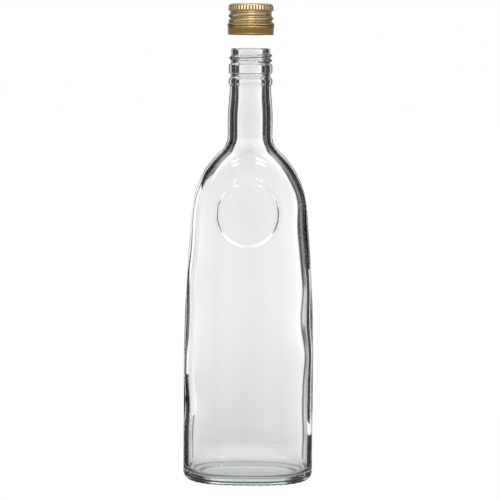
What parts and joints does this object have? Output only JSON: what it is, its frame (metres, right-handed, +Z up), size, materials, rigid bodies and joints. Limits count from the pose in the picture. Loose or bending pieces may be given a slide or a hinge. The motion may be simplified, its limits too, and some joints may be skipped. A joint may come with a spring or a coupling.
{
  "type": "glass oil bottle",
  "caption": "Clear glass bottle with a flat oval body, round neck, blank raised seal and threaded mouth, for oil or vinegar, with a gold aluminium screw cap lifted off above it.",
  "frame": {"origin": "centre of the ring that the bottle stands on, on the bottle's axis", "axes": "+Z up along the bottle's axis to the mouth, +X across the wide side, +Y from the front, which has the seal, to the back"},
  "size_m": [0.081, 0.053, 0.2943],
  "materials": {
    "clear_glass": "polished",
    "gold_aluminium": "satin lacquered",
    "foam_liner": "fine closed-cell foam"
  },
  "bodies": {
    "bottle": {"bottle": "clear_glass"},
    "liner": {"cap_liner": "foam_liner"},
    "cap": {"cap_shell": "gold_aluminium", "tamper_band": "gold_aluminium", "band_bridges": "gold_aluminium"}
  },
  "joints": [
    {"name": "cap_rise", "type": "slide", "parent": "bottle", "child": "liner", "axis": [0, 0, 1], "range_m": [-0.02438, 0]},
    {"name": "cap_turn", "type": "hinge", "parent": "liner", "child": "cap", "pos_m": [0, 0, 0.285], "axis": [0, 0, 1], "range_deg": [-2764.4, 0]}
  ],
  "couplings": [
    {"joint": "cap_turn", "follows": "cap_rise", "rad_per_m": 1979}
  ]
}
